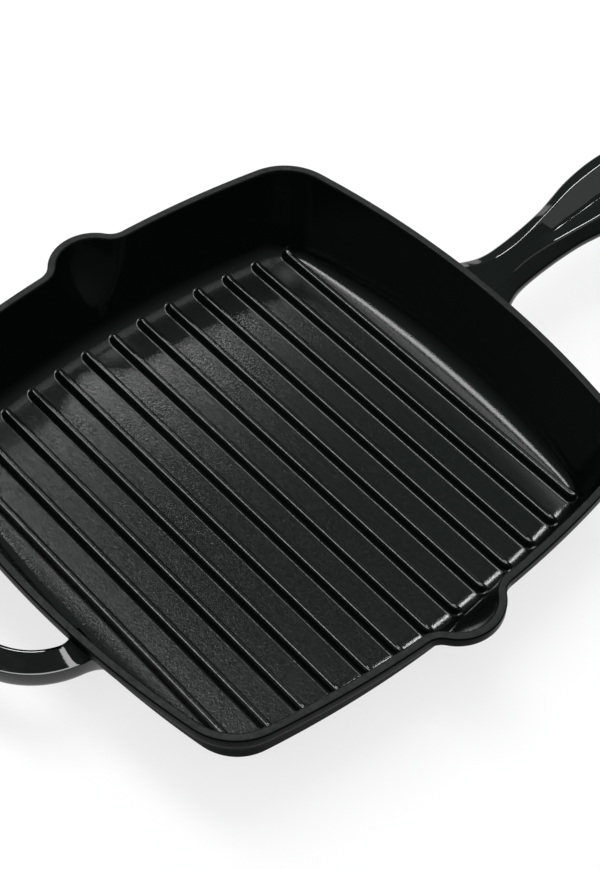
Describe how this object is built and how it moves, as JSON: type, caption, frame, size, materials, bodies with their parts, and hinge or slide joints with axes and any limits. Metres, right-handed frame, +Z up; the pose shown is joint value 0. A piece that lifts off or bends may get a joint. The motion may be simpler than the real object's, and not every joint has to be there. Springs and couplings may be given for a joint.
{
  "type": "grill pan",
  "caption": "Square cast-iron grill pan with bowed sides, a ribbed floor, pour spouts, a dished long handle with a hanging hole, and a helper loop.",
  "frame": {"origin": "middle of the resting face, under the centre of the square pan", "axes": "+X towards the long handle, +Y towards the left spout as the long handle points away, +Z up"},
  "size_m": [0.4198, 0.278, 0.0601],
  "materials": {
    "satin_enamel": "satin black enamel, inside of the pan and ribs",
    "gloss_enamel": "glossy black enamel, outside of the pan and handles",
    "matte_rim": "matte dark grey, the wiped rim",
    "ground_base": "ground flat, thin matte enamel"
  },
  "bodies": {
    "root": {"pan_body": "satin_enamel", "rim_band": "matte_rim", "pour_spout_left": "satin_enamel", "pour_spout_right": "satin_enamel", "base_pad": "ground_base", "long_handle": "gloss_enamel", "helper_handle": "gloss_enamel", "grill_rib_01": "satin_enamel", "grill_rib_02": "satin_enamel", "grill_rib_03": "satin_enamel", "grill_rib_04": "satin_enamel", "grill_rib_05": "satin_enamel", "grill_rib_06": "satin_enamel", "grill_rib_07": "satin_enamel", "grill_rib_08": "satin_enamel", "grill_rib_09": "satin_enamel", "grill_rib_10": "satin_enamel", "grill_rib_11": "satin_enamel", "grill_rib_12": "satin_enamel", "grill_rib_13": "satin_enamel"}
  },
  "joints": []
}
